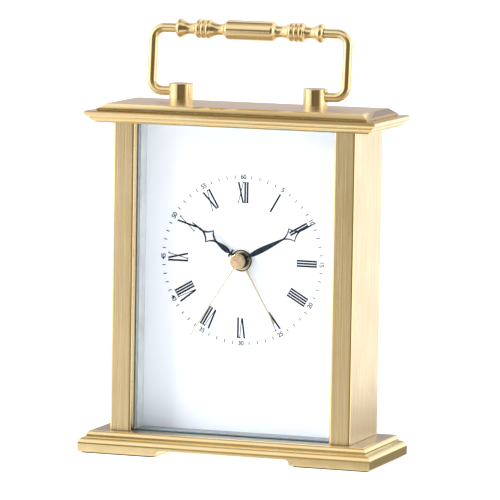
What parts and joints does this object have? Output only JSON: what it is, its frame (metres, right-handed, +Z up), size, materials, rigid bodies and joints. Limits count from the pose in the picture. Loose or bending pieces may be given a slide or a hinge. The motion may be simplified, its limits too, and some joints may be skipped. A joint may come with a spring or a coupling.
{
  "type": "mantel clock",
  "caption": "Brass mantel clock with moulded base and top, swinging carrying handle, glazed white dial, and a battery quartz movement with alarm.",
  "frame": {"origin": "middle of the underside, on the surface the clock stands on", "axes": "+X to the right of someone facing the dial, +Y to the back, +Z up"},
  "size_m": [0.1146, 0.0456, 0.1619],
  "materials": {
    "polished_brass": "polished and lacquered, with fine brushed grain on the flats",
    "satin_brass": "satin",
    "glass": "clear, polished",
    "dial_white": "satin white with printed numerals",
    "hand_black": "satin blue-black",
    "hand_gold": "pale satin gold",
    "black_plastic": "fine moulded texture",
    "white_plastic": "moulded acetal",
    "steel": "plated",
    "felt": "short black felt",
    "copper": null,
    "circuit_green": "green solder mask",
    "magnet": "dark sintered magnet",
    "battery_jacket": "plain printed jacket without any mark"
  },
  "bodies": {
    "case": {"base_plate": "polished_brass", "foot_pad_left": "felt", "foot_pad_right": "felt", "side_pillar_left": "polished_brass", "side_pillar_right": "polished_brass", "top_plate": "polished_brass", "tie_screw_1": "steel", "tie_screw_2": "steel", "tie_screw_3": "steel", "tie_screw_4": "steel", "handle_post_left": "polished_brass", "handle_post_right": "polished_brass", "post_screw_left": "steel", "post_screw_right": "steel", "front_glass": "glass", "dial_plate": "dial_white", "dial_spacer": "dial_white", "back_panel": "satin_brass", "back_screw_1": "polished_brass", "back_screw_2": "polished_brass", "back_screw_3": "polished_brass", "back_screw_4": "polished_brass", "movement_front_plate": "black_plastic", "movement_housing": "black_plastic", "centre_bush": "satin_brass", "dial_nut": "satin_brass", "circuit_board": "circuit_green", "control_chip": "black_plastic", "quartz_crystal": "steel", "coil_bobbin": "white_plastic", "coil_winding": "copper", "coil_core": "steel", "stator_plate": "steel", "alarm_buzzer": "satin_brass", "battery_contact_positive": "steel", "battery_contact_negative": "steel"},
    "handle": {"handle_bail": "polished_brass", "handle_grip": "polished_brass"},
    "minute": {"minute_hand": "hand_black", "centre_wheel": "satin_brass"},
    "hour": {"hour_hand": "hand_black", "hour_wheel": "white_plastic"},
    "second": {"second_hand": "hand_gold", "second_hand_cap": "hand_gold", "second_arbor": "steel"},
    "alarm": {"alarm_hand": "hand_gold", "alarm_wheel": "white_plastic"},
    "motion_wheel": {"minute_wheel": "white_plastic", "time_set_knob": "black_plastic"},
    "third": {"third_wheel": "white_plastic"},
    "fifth": {"fifth_wheel": "white_plastic"},
    "rotor": {"motor_rotor": "magnet"},
    "alarm_setting": {"alarm_pinion": "white_plastic", "alarm_set_knob": "black_plastic"},
    "alarm_slider": {"alarm_switch": "white_plastic"},
    "battery_cell": {"battery": "battery_jacket"}
  },
  "joints": [
    {"name": "handle_swing", "type": "hinge", "parent": "case", "child": "handle", "pos_m": [0, 0, 0.1349], "axis": [1, 0, 0], "range_deg": [-85, 95]},
    {"name": "minute_turn", "type": "hinge", "parent": "case", "child": "minute", "pos_m": [0, 0, 0.0732], "axis": [0, 1, 0], "continuous": true},
    {"name": "hour_turn", "type": "hinge", "parent": "case", "child": "hour", "pos_m": [0, 0, 0.0732], "axis": [0, 1, 0], "continuous": true},
    {"name": "second_turn", "type": "hinge", "parent": "case", "child": "second", "pos_m": [0, 0, 0.0732], "axis": [0, 1, 0], "continuous": true},
    {"name": "motion_wheel_turn", "type": "hinge", "parent": "case", "child": "motion_wheel", "pos_m": [-0.009, 0, 0.0732], "axis": [0, 1, 0], "continuous": true},
    {"name": "third_turn", "type": "hinge", "parent": "case", "child": "third", "pos_m": [0.009, 0, 0.0732], "axis": [0, 1, 0], "continuous": true},
    {"name": "fifth_turn", "type": "hinge", "parent": "case", "child": "fifth", "pos_m": [0, 0, 0.0822], "axis": [0, 1, 0], "continuous": true},
    {"name": "rotor_turn", "type": "hinge", "parent": "case", "child": "rotor", "pos_m": [0.00445, 0, 0.08665], "axis": [0, 1, 0], "continuous": true},
    {"name": "alarm_turn", "type": "hinge", "parent": "case", "child": "alarm", "pos_m": [0, 0, 0.0732], "axis": [0, 1, 0], "continuous": true},
    {"name": "alarm_setting_turn", "type": "hinge", "parent": "case", "child": "alarm_setting", "pos_m": [0, 0, 0.0642], "axis": [0, 1, 0], "continuous": true},
    {"name": "alarm_slide", "type": "slide", "parent": "case", "child": "alarm_slider", "axis": [0, 0, -1], "range_m": [0, 0.004]},
    {"name": "battery_pull", "type": "slide", "parent": "case", "child": "battery_cell", "axis": [0, 1, 0], "range_m": [0, 0.03]}
  ],
  "couplings": [
    {"joint": "hour_turn", "follows": "minute_turn", "ratio": 0.083333},
    {"joint": "second_turn", "follows": "minute_turn", "ratio": 60},
    {"joint": "motion_wheel_turn", "follows": "minute_turn", "ratio": -0.33333},
    {"joint": "third_turn", "follows": "minute_turn", "ratio": -8},
    {"joint": "fifth_turn", "follows": "minute_turn", "ratio": -300},
    {"joint": "rotor_turn", "follows": "minute_turn", "ratio": 1800},
    {"joint": "alarm_setting_turn", "follows": "alarm_turn", "ratio": -4}
  ]
}
